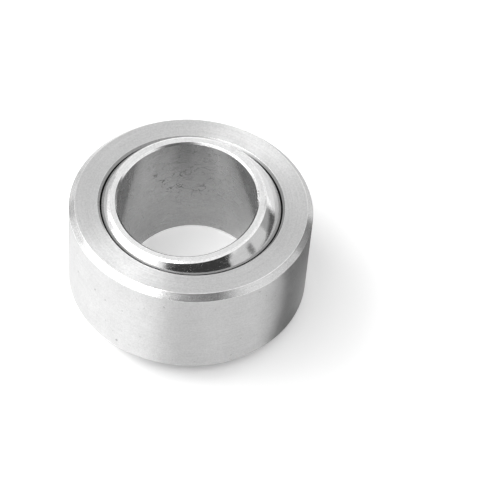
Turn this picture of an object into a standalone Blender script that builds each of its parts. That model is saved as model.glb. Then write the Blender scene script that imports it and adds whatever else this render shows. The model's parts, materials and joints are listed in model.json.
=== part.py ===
"""Spherical plain bearing of an inch size, lying on a table.

Three rings share one centre, the middle of the ball:

  ball        the inner ring, a sphere cut flat at both ends, with a plain bore for the shaft
  liner       the thin dry sliding layer, bonded inside the race
  outer_race  the outer ring, one piece closed round the ball, with a spherical seat

The ball stands level on its lower face. It is wider than the race, so the race is free to
lean in it, and its low edge comes down almost to the table.

Metres, +Z up along the bore. The origin is the centre of the ball, and the race leans about Y.
Run it with: blender --background --python part.py
"""

import math

import bpy

MM = 0.001

# The ball: its bore, its width, and the flat ring that is left round the bore at each end
BORE_DIAMETER = 25.4 * MM
BALL_WIDTH = 25.4 * MM
BALL_FACE = 1.5 * MM
BORE_CHAMFER = 0.35 * MM
BALL_EDGE_BREAK = 0.22 * MM

# The outer race: its width, and its wall at the waist, where the seat is deepest
RACE_WIDTH = 20.24 * MM
RACE_WALL = 2.964 * MM
RACE_CHAMFER = 1.05 * MM
MOUTH_CHAMFER = 0.42 * MM

# The liner, and the two clearances that the seat is made of with it
LINER_THICKNESS = 0.12 * MM
LINER_SETBACK = 0.12 * MM
RUNNING_CLEARANCE = 0.06 * MM
BOND_CLEARANCE = 0.03 * MM

# How far the low edge of the leaning race stays above the plane that the ball stands on
TABLE_CLEARANCE = 0.4 * MM

# How finely the curves are drawn
TURN_STEPS = 96
ARC_STEP = math.radians(5)
SHARP_ANGLE = math.radians(20)
MERGE_DISTANCE = 0.00001

# What follows from the sizes: a ball of 38.1 mm and a race of 44.45 mm outer diameter
BORE_RADIUS = BORE_DIAMETER / 2
BALL_RADIUS = math.hypot(BORE_RADIUS + BALL_FACE, BALL_WIDTH / 2)
LINER_INNER_RADIUS = BALL_RADIUS + RUNNING_CLEARANCE
LINER_OUTER_RADIUS = LINER_INNER_RADIUS + LINER_THICKNESS
SEAT_RADIUS = LINER_OUTER_RADIUS + BOND_CLEARANCE
SEAT_HALF_WIDTH = RACE_WIDTH / 2 - MOUTH_CHAMFER
RACE_RADIUS = SEAT_RADIUS + RACE_WALL


def clear_scene():
    """Removes every object that the file opened with."""
    for thing in list(bpy.data.objects):
        bpy.data.objects.remove(thing, do_unlink=True)


def metal_or_plastic(name, colour, metallic, roughness):
    """A plain Principled material."""
    material = bpy.data.materials.new(name)
    material.use_nodes = True
    shader = material.node_tree.nodes["Principled BSDF"]
    shader.inputs["Base Color"].default_value = (*colour, 1.0)
    shader.inputs["Metallic"].default_value = metallic
    shader.inputs["Roughness"].default_value = roughness
    return material


def spherical_arc(radius, top, bottom):
    """Points (radius, height) along a sphere's outline, from the height top down to bottom."""
    start = math.asin(top / radius)
    end = math.asin(bottom / radius)
    steps = max(2, math.ceil(abs(start - end) / ARC_STEP))
    angles = [start + (end - start) * step / steps for step in range(steps + 1)]
    return [(radius * math.cos(angle), radius * math.sin(angle)) for angle in angles]


def ball_outline():
    """The ball's section: down its spherical outside, then back up through the bore."""
    top = BALL_WIDTH / 2
    face_edge = BORE_RADIUS + BALL_FACE - BALL_EDGE_BREAK
    sphere = spherical_arc(BALL_RADIUS, top - BALL_EDGE_BREAK, BALL_EDGE_BREAK - top)
    return [
        (face_edge, top),
        *sphere,
        (face_edge, -top),
        (BORE_RADIUS + BORE_CHAMFER, -top),
        (BORE_RADIUS, BORE_CHAMFER - top),
        (BORE_RADIUS, top - BORE_CHAMFER),
        (BORE_RADIUS + BORE_CHAMFER, top),
    ]


def liner_outline():
    """The liner's section: two concentric arcs, both ends cut square to the bore axis."""
    top = SEAT_HALF_WIDTH - LINER_SETBACK
    outside = spherical_arc(LINER_OUTER_RADIUS, top, -top)
    inside = spherical_arc(LINER_INNER_RADIUS, -top, top)
    return outside + inside


def race_outline():
    """The race's section: down its cylindrical outside, then back up through the spherical seat."""
    top = RACE_WIDTH / 2
    seat = spherical_arc(SEAT_RADIUS, -SEAT_HALF_WIDTH, SEAT_HALF_WIDTH)
    mouth = seat[0][0] + MOUTH_CHAMFER
    return [
        (RACE_RADIUS - RACE_CHAMFER, top),
        (RACE_RADIUS, top - RACE_CHAMFER),
        (RACE_RADIUS, RACE_CHAMFER - top),
        (RACE_RADIUS - RACE_CHAMFER, -top),
        (mouth, -top),
        *seat,
        (mouth, top),
    ]


def race_lean():
    """The angle that brings the race's low edge down to the table clearance."""
    edge_radius = RACE_RADIUS - RACE_CHAMFER
    edge_height = RACE_WIDTH / 2
    reach = math.hypot(edge_radius, edge_height)
    depth = BALL_WIDTH / 2 - TABLE_CLEARANCE
    return math.asin(depth / reach) - math.atan2(edge_height, edge_radius)


def turned_piece(name, outline, material, collection, parent=None):
    """One ring, its closed section turned a full circle about Z."""
    count = len(outline)
    section = bpy.data.meshes.new(name + "_section")
    points = [(radius, 0.0, height) for radius, height in outline]
    section.from_pydata(points, [(index, (index + 1) % count) for index in range(count)], [])

    piece = bpy.data.objects.new(name, section)
    collection.objects.link(piece)
    turn = piece.modifiers.new("Turn", "SCREW")
    turn.axis = "Z"
    turn.angle = math.tau
    turn.steps = TURN_STEPS
    turn.render_steps = TURN_STEPS
    turn.use_merge_vertices = True
    turn.merge_threshold = MERGE_DISTANCE

    evaluated = piece.evaluated_get(bpy.context.evaluated_depsgraph_get())
    ring = bpy.data.meshes.new_from_object(evaluated)
    ring.name = name
    piece.modifiers.clear()
    piece.data = ring
    bpy.data.meshes.remove(section)

    ring.materials.append(material)
    ring.shade_smooth()
    ring.set_sharp_from_angle(angle=SHARP_ANGLE)
    piece.parent = parent
    return piece


def build():
    """Makes the bearing as it lies: the ball level, the race and its liner leaning together."""
    clear_scene()
    collection = bpy.data.collections.new("spherical_plain_bearing")
    bpy.context.scene.collection.children.link(collection)

    polished = metal_or_plastic("polished_ball_steel", (0.78, 0.78, 0.79), 1.0, 0.08)
    machined = metal_or_plastic("machined_race_steel", (0.62, 0.62, 0.62), 1.0, 0.32)
    dark = metal_or_plastic("dark_sliding_layer", (0.02, 0.02, 0.02), 0.0, 0.7)

    tilt_axis = bpy.data.objects.new("race_tilt_axis", None)
    tilt_axis.rotation_euler = (0.0, race_lean(), 0.0)
    collection.objects.link(tilt_axis)

    turned_piece("ball", ball_outline(), polished, collection)
    turned_piece("outer_race", race_outline(), machined, collection, tilt_axis)
    turned_piece("liner", liner_outline(), dark, collection, tilt_axis)


build()
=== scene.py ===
"""The looks of the spherical plain bearing: its rings, their finishes, the studio and the camera.

Each ring replaces its CAD node with the same turned section, drawn finer and with its edges broken
by small rounds. Sizes are in millimetres and are scaled to metres where a mesh or a place is made.
"""

import json
import math
from collections import namedtuple

import bpy
from mathutils import Matrix, Vector


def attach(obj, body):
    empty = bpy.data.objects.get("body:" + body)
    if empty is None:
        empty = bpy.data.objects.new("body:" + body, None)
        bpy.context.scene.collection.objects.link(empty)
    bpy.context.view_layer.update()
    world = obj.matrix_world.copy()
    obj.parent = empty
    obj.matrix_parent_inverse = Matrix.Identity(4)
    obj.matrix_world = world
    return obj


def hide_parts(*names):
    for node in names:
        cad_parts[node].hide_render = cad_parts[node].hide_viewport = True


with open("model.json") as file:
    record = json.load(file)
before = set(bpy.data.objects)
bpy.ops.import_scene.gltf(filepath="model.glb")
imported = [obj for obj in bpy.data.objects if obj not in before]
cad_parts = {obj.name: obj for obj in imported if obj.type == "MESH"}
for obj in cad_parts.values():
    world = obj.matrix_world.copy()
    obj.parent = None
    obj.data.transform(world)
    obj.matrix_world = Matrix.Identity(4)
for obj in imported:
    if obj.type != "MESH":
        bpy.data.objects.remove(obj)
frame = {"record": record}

MM = 0.001
UP = Vector((0, 0, 1))
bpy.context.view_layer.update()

# The ball
BORE_RADIUS = 12.7
BALL_FACE = 1.5
BALL_HALF_WIDTH = 12.7
BORE_CHAMFER = 0.35
BALL_EDGE_BREAK = 0.22
BALL_RADIUS = math.hypot(BORE_RADIUS + BALL_FACE, BALL_HALF_WIDTH)

# The liner and its clearances
RUNNING_CLEARANCE = 0.06
LINER_THICKNESS = 0.12
BOND_CLEARANCE = 0.03
LINER_SETBACK = 0.12
LINER_INNER_RADIUS = BALL_RADIUS + RUNNING_CLEARANCE
LINER_OUTER_RADIUS = LINER_INNER_RADIUS + LINER_THICKNESS
SEAT_RADIUS = LINER_OUTER_RADIUS + BOND_CLEARANCE

# The race
RACE_HALF_WIDTH = 10.12
RACE_WALL = 2.964
RACE_CHAMFER = 1.05
MOUTH_CHAMFER = 0.42
RACE_RADIUS = SEAT_RADIUS + RACE_WALL
SEAT_HALF_WIDTH = RACE_HALF_WIDTH - MOUTH_CHAMFER

# The small rounds that break the edges
BALL_ROUND = 0.07
RACE_ROUND = 0.12
MOUTH_ROUND = 0.06
NO_ROUND = 0.0

# How finely the rings are drawn
TURN_STEPS = 320
ARC_STEP = math.radians(1.5)
ROUND_STEPS = 5

# The camera, fitted to the edges of the bearing in the photograph
CAMERA_AZIMUTH = math.radians(-49.0)
CAMERA_ELEVATION = math.radians(53.86)
CAMERA_ROLL = math.radians(0.73)
CAMERA_DISTANCE = 406.5
AIM_RIGHT = 11.22
AIM_DOWN = 1.82
SENSOR_WIDTH = 36.0
FOCAL_LENGTH = 158.4
NEAREST_SEEN = 10
FARTHEST_SEEN = 20000

TOWARDS_VIEWER = Vector((math.sin(CAMERA_AZIMUTH), -math.cos(CAMERA_AZIMUTH), 0))
VIEWERS_LEFT = TOWARDS_VIEWER.cross(UP)


# Sections of the rings, as points (radius, height, round, finish of the stretch that follows)

def arc(radius, top, bottom, finish, last):
    """A stretch of a sphere's outline between two heights, and the finish that follows its last point."""
    start = math.asin(top / radius)
    end = math.asin(bottom / radius)
    steps = math.ceil(abs(end - start) / ARC_STEP)
    points = []
    for step in range(steps + 1):
        angle = start + (end - start) * step / steps
        following = finish if step < steps else last
        points.append((radius * math.cos(angle), radius * math.sin(angle), NO_ROUND, following))
    return points


def ball_section():
    """Down the sphere, then back up through the bore."""
    top = BALL_HALF_WIDTH
    face_edge = BORE_RADIUS + BALL_FACE - BALL_EDGE_BREAK
    mouth = BORE_RADIUS + BORE_CHAMFER
    return [
        (face_edge, top, BALL_ROUND, "edge"),
        *arc(BALL_RADIUS, top - BALL_EDGE_BREAK, BALL_EDGE_BREAK - top, "sphere", "edge"),
        (face_edge, -top, BALL_ROUND, "end"),
        (mouth, -top, BALL_ROUND, "edge"),
        (BORE_RADIUS, BORE_CHAMFER - top, BALL_ROUND, "bore"),
        (BORE_RADIUS, top - BORE_CHAMFER, BALL_ROUND, "edge"),
        (mouth, top, BALL_ROUND, "end"),
    ]


def race_section():
    """Down the outside, then back up through the seat."""
    top = RACE_HALF_WIDTH
    seat = arc(SEAT_RADIUS, -SEAT_HALF_WIDTH, SEAT_HALF_WIDTH, "seat", "mouth")
    mouth = seat[0][0] + MOUTH_CHAMFER
    return [
        (RACE_RADIUS - RACE_CHAMFER, top, RACE_ROUND, "chamfer"),
        (RACE_RADIUS, top - RACE_CHAMFER, RACE_ROUND, "side"),
        (RACE_RADIUS, RACE_CHAMFER - top, RACE_ROUND, "chamfer"),
        (RACE_RADIUS - RACE_CHAMFER, -top, RACE_ROUND, "face"),
        (mouth, -top, MOUTH_ROUND, "mouth"),
        *seat,
        (mouth, top, MOUTH_ROUND, "face"),
    ]


def liner_section():
    """Down the bonded side, then back up the sliding side."""
    top = SEAT_HALF_WIDTH - LINER_SETBACK
    bonded = arc(LINER_OUTER_RADIUS, top, -top, "liner", "liner")
    sliding = arc(LINER_INNER_RADIUS, -top, top, "liner", "liner")
    return bonded + sliding


# The rings, turned from their sections

# A point of a rounded section. Its normals, as (radial, axial), are those of the stretches before
# and after it, and its finish is that of the stretch after it.
SectionPoint = namedtuple("SectionPoint", "radius height before after finish")


def stretch_normal(first, second):
    """The outward normal of the stretch between two points of a section."""
    run = (Vector(second[:2]) - Vector(first[:2])).normalized()
    return Vector((-run.y, run.x))


def rounded(section):
    """The points of the section, with its edges rounded and its arcs made smooth."""
    points = []
    for index, (radius, height, size, finish) in enumerate(section):
        previous = section[index - 1]
        here = section[index]
        following = section[(index + 1) % len(section)]
        before = stretch_normal(previous, here)
        after = stretch_normal(here, following)
        if size == NO_ROUND:
            if before.dot(after) >= math.cos(2 * ARC_STEP):
                before = after = (before + after).normalized()
            points.append(SectionPoint(radius, height, before, after, finish))
            continue
        corner = Vector((radius, height))
        to_previous = (Vector(previous[:2]) - corner).normalized()
        to_following = (Vector(following[:2]) - corner).normalized()
        half = to_previous.angle(to_following) / 2
        centre = corner + (to_previous + to_following).normalized() * (size / math.sin(half))
        for step in range(ROUND_STEPS + 1):
            normal = before.slerp(after, step / ROUND_STEPS)
            point = centre + normal * size
            own_finish = finish if step == ROUND_STEPS else "edge"
            points.append(SectionPoint(point.x, point.y, normal, normal, own_finish))
    return points


def swung(radial, axial, angle):
    """A point or a normal of the section, swung round to its place on the ring."""
    return Vector((radial * math.cos(angle), radial * math.sin(angle), axial))


def ring(name, section, finishes, lean=Matrix.Identity(3)):
    """Turns a section into a closed mesh with true normals. Its textures lean with it."""
    points = rounded(section)
    count = len(points)
    finish_names = list(finishes)
    places = []
    faces = []
    normals = []
    slots = []
    for step in range(TURN_STEPS):
        angle = math.tau * step / TURN_STEPS
        later_angle = math.tau * (step + 1) / TURN_STEPS
        places += [swung(point.radius, point.height, angle) for point in points]
        this = step * count
        following = (step + 1) % TURN_STEPS * count
        for index in range(count):
            later = (index + 1) % count
            faces.append((this + index, this + later, following + later, following + index))
            first = points[index].after
            second = points[later].before
            corners = ((first, angle), (second, angle), (second, later_angle), (first, later_angle))
            normals += [lean @ swung(normal.x, normal.y, where) for normal, where in corners]
            slots.append(finish_names.index(points[index].finish))
    mesh = bpy.data.meshes.new(name)
    mesh.from_pydata([lean @ place * MM for place in places], [], faces)
    for finish in finish_names:
        mesh.materials.append(finishes[finish])
    mesh.polygons.foreach_set("material_index", slots)
    mesh.shade_smooth()
    mesh.normals_split_custom_set(normals)
    own = mesh.attributes.new("ring_place", "FLOAT_VECTOR", "POINT")
    own.data.foreach_set("vector", [number for place in places for number in place])
    piece = bpy.data.objects.new(name, mesh)
    bpy.context.scene.collection.objects.link(piece)
    return piece


# Node trees

# Where a Mix node that mixes colours keeps its sockets
MIX_SHARE = 0
MIX_FIRST = 6
MIX_SECOND = 7
MIX_RESULT = 2


def grey(value):
    """An opaque neutral grey."""
    return (value, value, value, 1.0)


class Tree:
    """The node tree of a material or a world, with short ways to add nodes."""

    def __init__(self, owner):
        owner.use_nodes = True
        self.nodes = owner.node_tree.nodes
        self.links = owner.node_tree.links

    def add(self, kind, **settings):
        node = self.nodes.new(kind)
        for name, value in settings.items():
            setattr(node, name, value)
        return node

    def feed(self, socket, value):
        """Links a socket into another, or sets it to a number or a colour."""
        if isinstance(value, bpy.types.NodeSocket):
            self.links.new(value, socket)
        else:
            socket.default_value = value

    def math(self, operation, *values):
        node = self.add("ShaderNodeMath", operation=operation)
        for socket, value in zip(node.inputs, values):
            self.feed(socket, value)
        return node.outputs[0]

    def spread(self, value, low, high, start=0.0, end=1.0, curve="LINEAR"):
        """Runs from low, where the value is start, to high, where it is end, and no further."""
        node = self.add("ShaderNodeMapRange", interpolation_type=curve)
        self.feed(node.inputs["Value"], value)
        node.inputs["From Min"].default_value = start
        node.inputs["From Max"].default_value = end
        node.inputs["To Min"].default_value = low
        node.inputs["To Max"].default_value = high
        return node.outputs[0]

    def mix(self, first, second, share):
        """The first colour, with the second laid over it by its share."""
        node = self.add("ShaderNodeMix", data_type="RGBA")
        self.feed(node.inputs[MIX_SHARE], share)
        self.feed(node.inputs[MIX_FIRST], first)
        self.feed(node.inputs[MIX_SECOND], second)
        return node.outputs[MIX_RESULT]

    def show(self, shader, kind="ShaderNodeOutputMaterial"):
        """Makes the shader what the material or the world shows."""
        out = self.add(kind)
        self.feed(out.inputs["Surface"], shader)


# Finishes

# Where most of a noise's values lie, for a spread of full contrast and for a softer one
FULL_CONTRAST = 0.36, 0.64
SOFT_CONTRAST = 0.3, 0.7

# The least and the most of a turned surface's shade and roughness, as shares of what is given
TURNED_SHADES = 0.84, 1.14
TURNED_ROUGHNESS = 0.85, 1.18

# A quarter turn, which stretches the highlights across the grooves
ACROSS_GROOVES = 0.25

# The shade of the dark marks that handling leaves
STAIN_SHADE = 0.07

# Where the bore is scuffed most, how far from there the scuffs fade, and the share that is left
SCUFFED_PLACE = (9.0, 8.9, 4.5)
SCUFFED_REACH = 5, 10
SCUFFS_ELSEWHERE = 0.1


class Finish(Tree):
    """A Principled material. Its textures follow the ring's own frame, in millimetres."""

    def __init__(self, name, metallic, anisotropy=0.0):
        self.material = bpy.data.materials.new(name)
        super().__init__(self.material)
        self.shader = self.nodes["Principled BSDF"]
        self.shader.inputs["Metallic"].default_value = metallic
        self.shader.inputs["Anisotropic"].default_value = anisotropy
        self.shader.inputs["Anisotropic Rotation"].default_value = ACROSS_GROOVES
        own = self.add("ShaderNodeAttribute", attribute_name="ring_place")
        self.place = own.outputs["Vector"]
        split = self.add("ShaderNodeSeparateXYZ")
        self.feed(split.inputs[0], self.place)
        self.x, self.y, self.height = split.outputs
        across = self.math("MULTIPLY", self.x, self.x)
        along = self.math("MULTIPLY", self.y, self.y)
        self.radius = self.math("SQRT", self.math("ADD", across, along))

    def noise(self, scale, detail, vector=None):
        node = self.add("ShaderNodeTexNoise")
        self.feed(node.inputs["Vector"], self.place if vector is None else vector)
        self.feed(node.inputs["Scale"], scale)
        self.feed(node.inputs["Detail"], detail)
        return node.outputs["Fac"]

    def turned(self, across, around, pitch, detail=2.0):
        """Noise drawn out round the ring, with pitch marks for each mm across and around marks a turn."""
        vector = self.add("ShaderNodeCombineXYZ")
        for socket, side in zip(vector.inputs, (self.x, self.y)):
            direction = self.math("DIVIDE", side, self.radius)
            self.feed(socket, self.math("MULTIPLY", direction, around))
        self.feed(vector.inputs["Z"], self.math("MULTIPLY", across, pitch))
        return self.noise(scale=1.0, detail=detail, vector=vector.outputs[0])

    def blend(self, *shares):
        """The sum of some values, each taken by its share."""
        total = 0.0
        for value, share in shares:
            total = self.math("MULTIPLY_ADD", value, share, total)
        return total

    def bumps(self, *layers):
        """The surface raised by some heights, each by its depth in mm where it is 1."""
        normal = None
        for height, depth in layers:
            node = self.add("ShaderNodeBump")
            self.feed(node.inputs["Height"], height)
            node.inputs["Distance"].default_value = depth * MM
            if normal is not None:
                self.feed(node.inputs["Normal"], normal)
            normal = node.outputs[0]
        return normal

    def finish(self, colour, roughness, normal):
        self.feed(self.shader.inputs["Base Color"], colour)
        self.feed(self.shader.inputs["Roughness"], roughness)
        self.feed(self.shader.inputs["Normal"], normal)
        return self.material


def turned_steel(name, shade, roughness, anisotropy=0.0, across_face=False, grain_depth=0.003):
    """Steel with the fine rings that a lathe tool leaves, on a flat face or along a side."""
    f = Finish(name, metallic=1.0, anisotropy=anisotropy)
    across = f.radius if across_face else f.height
    fine = f.turned(across, around=2.5, pitch=9.0)
    broad = f.turned(across, around=1.2, pitch=2.4)
    cloud = f.noise(scale=0.35, detail=4.0)
    grain = f.noise(scale=3.6, detail=2.0)
    mixed = f.blend((fine, 0.25), (broad, 0.15), (cloud, 0.2), (grain, 0.4))
    dark, light = [grey(min(1.0, shade * share)) for share in TURNED_SHADES]
    colour = f.mix(dark, light, f.spread(mixed, 0, 1, *FULL_CONTRAST))
    smooth, rough = [roughness * share for share in TURNED_ROUGHNESS]
    patchy = f.spread(f.blend((cloud, 0.6), (grain, 0.4)), smooth, rough, *SOFT_CONTRAST)
    return f.finish(colour, patchy, f.bumps((broad, 0.002), (fine, 0.003), (grain, grain_depth)))


def ground_steel(name):
    """The race's outside: ground round the ring, with a cloudy satin look and a few handling marks."""
    f = Finish(name, metallic=1.0, anisotropy=0.93)
    fine = f.turned(f.height, around=5.0, pitch=8.0)
    cloud = f.noise(scale=0.3, detail=5.0)
    mottle = f.noise(scale=0.8, detail=3.0)
    grain = f.noise(scale=3.2, detail=2.0)
    mixed = f.blend((fine, 0.25), (cloud, 0.2), (mottle, 0.15), (grain, 0.4))
    steel = f.mix(grey(0.515), grey(0.655), f.spread(mixed, 0, 1, *FULL_CONTRAST))
    specks = f.spread(f.noise(scale=1.1, detail=1.0), low=0, high=0.5, start=0.74, end=0.8)
    colour = f.mix(steel, grey(STAIN_SHADE), specks)
    patchy = f.spread(f.blend((cloud, 0.5), (mottle, 0.5)), 0.33, 0.4, *SOFT_CONTRAST)
    return f.finish(colour, patchy, f.bumps((fine, 0.003), (mottle, 0.0015), (grain, 0.006)))


def chrome(name):
    """The ball's sphere: polished hard chrome, with faint lines, tiny dull pits and a little peel."""
    f = Finish(name, metallic=1.0)
    lines = f.turned(f.height, around=4.0, pitch=12.0)
    grain = f.noise(scale=5.0, detail=2.0)
    peel = f.noise(scale=0.8, detail=2.0)
    mixed = f.blend((lines, 0.5), (grain, 0.5))
    colour = f.mix(grey(0.78), grey(0.88), f.spread(mixed, 0, 1, start=0.35, end=0.65))
    pits = f.spread(grain, low=0, high=0.2, start=0.52, end=0.74)
    rough = f.math("ADD", f.spread(peel, 0.06, 0.11, *SOFT_CONTRAST), pits)
    return f.finish(colour, rough, f.bumps((peel, 0.004), (lines, 0.0008), (grain, 0.0016)))


def bore_steel(name):
    """The ball's bore: honed, duller, with small dark scuffs, and painted shade in its darker greys."""
    f = Finish(name, metallic=1.0, anisotropy=0.9)
    fine = f.turned(f.height, around=6.0, pitch=5.0)
    cloud = f.noise(scale=0.28, detail=4.0)
    grain = f.noise(scale=3.4, detail=2.0)
    mixed = f.blend((fine, 0.3), (cloud, 0.35), (grain, 0.35))
    # Greys darker than the rest of the steel: painted shade inside the bore
    steel = f.mix(grey(0.335), grey(0.46), f.spread(mixed, 0, 1, *FULL_CONTRAST))
    from_line = f.math("ABSOLUTE", f.math("SUBTRACT", f.noise(scale=0.75, detail=3.0), 0.5))
    lines = f.spread(from_line, low=1, high=0, end=0.03)
    patches = f.spread(f.noise(scale=0.42, detail=2.0), 0, 1, start=0.46, end=0.62)
    away = f.add("ShaderNodeVectorMath", operation="DISTANCE")
    f.feed(away.inputs[0], f.place)
    f.feed(away.inputs[1], SCUFFED_PLACE)
    handled = f.spread(away.outputs["Value"], 1, SCUFFS_ELSEWHERE, *SCUFFED_REACH)
    scuffs = f.math("MULTIPLY", f.math("MULTIPLY", lines, patches), handled)
    colour = f.mix(steel, grey(STAIN_SHADE), scuffs)
    rough = f.spread(cloud, 0.22, 0.3, *SOFT_CONTRAST)
    return f.finish(colour, rough, f.bumps((fine, 0.002), (grain, 0.003)))


def liner_cloth(name):
    """The liner: a matt black woven sliding layer."""
    f = Finish(name, metallic=0.0)
    f.shader.inputs["Specular IOR Level"].default_value = 0.15
    weave = f.turned(f.height, around=40.0, pitch=6.0, detail=0.0)
    colour = f.mix(grey(0.004), grey(0.012), weave)
    return f.finish(colour, f.spread(weave, 0.7, 0.9), f.bumps((weave, 0.01)))


# The pieces

broken_edge = turned_steel("broken_edge", shade=0.88, roughness=0.16)
ball = ring("ball_ring", ball_section(), {
    "sphere": chrome("chrome_sphere"),
    "edge": broken_edge,
    "end": turned_steel("ground_end", shade=0.76, roughness=0.32, anisotropy=0.6, across_face=True),
    "bore": bore_steel("honed_bore"),
})

# The race leans as it does in the frame, where its upper face's mount gives its axis
race_axis = next(Vector(m["axis"]) for m in frame["record"]["mounts"] if m["name"] == "race_upper_face")
race_lean = UP.rotation_difference(race_axis).to_matrix()
race = ring("race_ring", race_section(), {
    "side": ground_steel("ground_side"),
    "chamfer": turned_steel("turned_chamfer", shade=0.69, roughness=0.23, anisotropy=0.3,
                            grain_depth=0.001),
    "edge": broken_edge,
    "face": turned_steel("turned_face", shade=0.665, roughness=0.46, anisotropy=0.9, across_face=True),
    # The mouth is coloured darker than the race's other steel: painted shade at the lip of the gap
    # between race and ball
    "mouth": turned_steel("turned_mouth", shade=0.34, roughness=0.3),
    "seat": turned_steel("turned_seat", shade=0.5, roughness=0.4),
}, race_lean)
liner = ring("liner_ring", liner_section(), {"liner": liner_cloth("sliding_cloth")}, race_lean)

for piece, body, node, slot in (
        (ball, "inner_ring", "ball", "ball_steel"),
        (race, "outer_ring", "outer_race", "race_steel"),
        (liner, "outer_ring", "liner", "sliding_layer")):
    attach(piece, body)
    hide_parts(node)


# The studio

# An azimuth is in degrees from the viewer round to the viewer's left, an elevation in degrees above
# the level, and a shade of 1 looks just white.

# The even light that comes from all round
AMBIENT = 0.4

# The floor, and the glow that lifts it to white where it is seen
FLOOR_SIDE = 6000
FLOOR_SHADE = 0.85
FLOOR_LIFT = 0.38

# The radii between which that glow comes back, inside the bore and outside the race. Where the glow is
# gone round the race's foot, the floor shows a painted contact shadow
PAINTED_SHADOW_RADII = (14.0, 12.5), (18.5, 21.8)

# The lamps, which light the metal but aren't mirrored in it:
# azimuth, elevation, distance, width, height, strength
LAMPS = {
    "key_left": (110, 46, 900, 700, 600, 3.2),
    "top_left": (85, 72, 900, 480, 480, 2.6),
    "top_front": (10, 62, 900, 420, 420, 1.6),
}

# The cards that face the bearing, which only the metal mirrors:
# azimuth, elevation, distance, width, height, shade, share of the card over which its rim fades
FACING_CARDS = {
    "key_glow": (94, 44, 900, 760, 600, 3.1, 0.15),
    "left_glow": (58, 58, 850, 700, 460, 5.2, 0.15),
    "left_sweep": (68, 12, 900, 1150, 620, 1.7, 0.12),
    "back_left_flag": (134, 6, 700, 420, 420, 0.4, 0.3),
    "back_right_flag": (-122, 2, 700, 420, 300, 0.3, 0.3),
    "camera_side_flag": (-12.4, 14, 700, 1270, 540, 0.045, 0.17),
    "upper_flag": (-12, 38, 690, 800, 275, 0.06, 0.3),
    "far_right_flag": (-115, 20, 500, 310, 260, 0.1, 0.3),
    "right_flag": (-71, 9, 620, 600, 264, 0.67, 0.08),
    "right_spot": (-73, 7.5, 580, 105, 200, 0.24, 0.35),
    "right_board": (-90, -3.2, 60, 60, 28, 0.1, 0.2),
    "right_board_top": (-101, 12, 66, 34, 26, 0.39, 0.25),
}

# The cards that lie in layers on the floor, which only the metal mirrors: how far towards the
# viewer, how far to the left, layer, width, depth, shade, share of the card over which its rim fades
FLOOR_CARDS = {
    "left_floor": (14, 42, 1, 70, 56, 1.5, 0.1),
    "front_floor": (38, 3, 2, 26, 36, 1.0, 0.4),
    "right_floor": (-10.9, -38, 2, 46, 62, 0.14, 0.04),
    "right_near_floor": (1, -25, 3, 20, 27, 0.5, 0.45),
    "back_left_floor": (-85, 78, 1, 130, 120, 0.78, 0.3),
    "back_floor": (-72, -72, 1, 110, 110, 0.85, 0.1),
    "bore_floor": (8, -1, 1, 10, 12, 0.2, 0.4),
    "bore_left_glow": (-5, -9.5, 1, 9, 13, 1.3, 0.4),
    "bore_right_glow": (-1, 9, 1, 8, 12, 1.35, 0.4),
}
FLOOR_CARD_LAYER = 0.15

# The middle of a card, in the measure of its own surface, which is 1 from side to side
CARD_MIDDLE = 0.5


def sky_place(azimuth, elevation, distance):
    """A point round the bearing, as seen from its middle."""
    a = math.radians(azimuth)
    e = math.radians(elevation)
    level = TOWARDS_VIEWER * math.cos(a) + VIEWERS_LEFT * math.sin(a)
    return (level * math.cos(e) + UP * math.sin(e)) * distance * MM


def floor_place(towards, left, layer):
    """A point above the floor, by some layers of cards."""
    depth = BALL_HALF_WIDTH - layer * FLOOR_CARD_LAYER
    return (TOWARDS_VIEWER * towards + VIEWERS_LEFT * left - UP * depth) * MM


def face_bearing(thing, where):
    thing.location = where
    thing.rotation_mode = "QUATERNION"
    thing.rotation_quaternion = where.to_track_quat("Z", "Y")


def softbox(name, where, width, height, strength):
    """A soft lamp that faces the bearing. A square metre of it gives pi times its strength in watts."""
    light = bpy.data.lights.new(name, "AREA")
    light.shape = "RECTANGLE"
    light.size = width * MM
    light.size_y = height * MM
    light.energy = strength * math.pi * light.size * light.size_y
    lamp = bpy.data.objects.new(name, light)
    bpy.context.scene.collection.objects.link(lamp)
    face_bearing(lamp, where)
    lamp.visible_camera = False
    lamp.visible_glossy = False


def card_material(name, shade, rim):
    """A plain glow that fades out at the card's rim."""
    material = bpy.data.materials.new(name)
    tree = Tree(material)
    tree.nodes.clear()
    where = tree.add("ShaderNodeTexCoord")
    split = tree.add("ShaderNodeSeparateXYZ")
    tree.feed(split.inputs[0], where.outputs["UV"])
    fades = []
    for side in split.outputs[:2]:
        from_middle = tree.math("ABSOLUTE", tree.math("SUBTRACT", side, CARD_MIDDLE))
        fades.append(tree.spread(from_middle, 0, 1, CARD_MIDDLE, CARD_MIDDLE - rim, "SMOOTHSTEP"))
    glow = tree.add("ShaderNodeEmission")
    glow.inputs["Strength"].default_value = shade
    clear = tree.add("ShaderNodeBsdfTransparent")
    mix = tree.add("ShaderNodeMixShader")
    tree.feed(mix.inputs[0], tree.math("MULTIPLY", *fades))
    tree.feed(mix.inputs[1], clear.outputs[0])
    tree.feed(mix.inputs[2], glow.outputs[0])
    tree.show(mix.outputs[0])
    return material


def card(name, where, width, height, shade, rim):
    """A card that faces the bearing and shows only in the metal."""
    bpy.ops.mesh.primitive_plane_add(size=1)
    board = bpy.context.object
    board.name = name
    board.scale = (width * MM, height * MM, 1)
    face_bearing(board, where)
    board.data.materials.append(card_material(name, shade, rim))
    board.visible_camera = False
    board.visible_diffuse = False
    board.visible_shadow = False
    return board


def lay_flat(board):
    """Lays a card flat, with its width from the viewer's left to the right."""
    board.rotation_mode = "XYZ"
    board.rotation_euler = (0, 0, CAMERA_AZIMUTH)


def seen_as_background(tree):
    """1 on camera, glossy and transmission rays, else 0."""
    path = tree.add("ShaderNodeLightPath")
    seen = path.outputs["Is Camera Ray"]
    for other in ("Is Glossy Ray", "Is Transmission Ray"):
        seen = tree.math("MAXIMUM", seen, path.outputs[other])
    return seen


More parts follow.
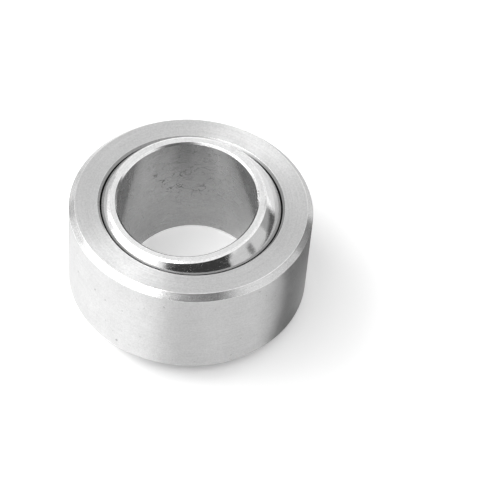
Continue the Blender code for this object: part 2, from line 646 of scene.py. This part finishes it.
def studio_world():
    """White where it is seen, and a weaker even light on everything else."""
    world = bpy.data.worlds.new("studio")
    bpy.context.scene.world = world
    tree = Tree(world)
    tree.nodes.clear()
    sky = tree.add("ShaderNodeBackground")
    sky.inputs["Color"].default_value = grey(1.0)
    tree.feed(sky.inputs["Strength"], tree.spread(seen_as_background(tree), AMBIENT, 1))
    tree.show(sky.outputs[0], "ShaderNodeOutputWorld")


def white_floor():
    """A matt floor that keeps the bearing's shadow, lifted to white where it is seen as the background.

    The lift fades out towards the ring of floor that the bearing hides, where no light would reach. Round
    the race's foot this paints a contact shadow, seen under its raised edge and mirrored in the metal.
    """
    bpy.ops.mesh.primitive_plane_add(size=FLOOR_SIDE * MM)
    floor = bpy.context.object
    floor.name = "floor"
    floor.location.z = -BALL_HALF_WIDTH * MM
    material = bpy.data.materials.new("floor")
    tree = Tree(material)
    tree.nodes.clear()
    where = tree.add("ShaderNodeTexCoord")
    radius = tree.add("ShaderNodeVectorMath", operation="LENGTH")
    tree.feed(radius.inputs[0], where.outputs["Object"])
    # Without the lift, a ring round the race's foot shows a painted contact shadow
    outside_painted_shadow = [tree.spread(radius.outputs["Value"], 0, 1, shadowed * MM, clear * MM, "SMOOTHSTEP")
                  for shadowed, clear in PAINTED_SHADOW_RADII]
    lift = tree.spread(tree.math("MAXIMUM", *outside_painted_shadow), 0, FLOOR_LIFT)
    glow = tree.add("ShaderNodeEmission")
    tree.feed(glow.inputs["Strength"], tree.math("MULTIPLY", seen_as_background(tree), lift))
    paint = tree.add("ShaderNodeBsdfDiffuse")
    paint.inputs["Color"].default_value = grey(FLOOR_SHADE)
    both = tree.add("ShaderNodeAddShader")
    tree.feed(both.inputs[0], paint.outputs[0])
    tree.feed(both.inputs[1], glow.outputs[0])
    tree.show(both.outputs[0])
    floor.data.materials.append(material)


def photo_camera():
    """The photograph's view of the bearing."""
    data = bpy.data.cameras.new("camera")
    data.sensor_width = SENSOR_WIDTH
    data.lens = FOCAL_LENGTH
    data.clip_start = NEAREST_SEEN * MM
    data.clip_end = FARTHEST_SEEN * MM
    camera = bpy.data.objects.new("camera", data)
    bpy.context.scene.collection.objects.link(camera)
    back = TOWARDS_VIEWER * math.cos(CAMERA_ELEVATION) + UP * math.sin(CAMERA_ELEVATION)
    roll = Matrix.Rotation(-CAMERA_ROLL, 3, back)
    right = roll @ -VIEWERS_LEFT
    over = back.cross(right)
    aim = (right * AIM_RIGHT - over * AIM_DOWN) * MM
    turn = Matrix((right, over, back)).transposed()
    camera.matrix_world = Matrix.Translation(aim + back * CAMERA_DISTANCE * MM) @ turn.to_4x4()
    bpy.context.scene.camera = camera


studio_world()
white_floor()
for name, (azimuth, elevation, distance, width, height, strength) in LAMPS.items():
    softbox(name, sky_place(azimuth, elevation, distance), width, height, strength)
for name, (azimuth, elevation, distance, width, height, shade, rim) in FACING_CARDS.items():
    card(name, sky_place(azimuth, elevation, distance), width, height, shade, rim)
for name, (towards, left, layer, width, depth, shade, rim) in FLOOR_CARDS.items():
    lay_flat(card(name, floor_place(towards, left, layer), width, depth, shade, rim))
photo_camera()
bpy.context.scene.view_settings.view_transform = "Standard"
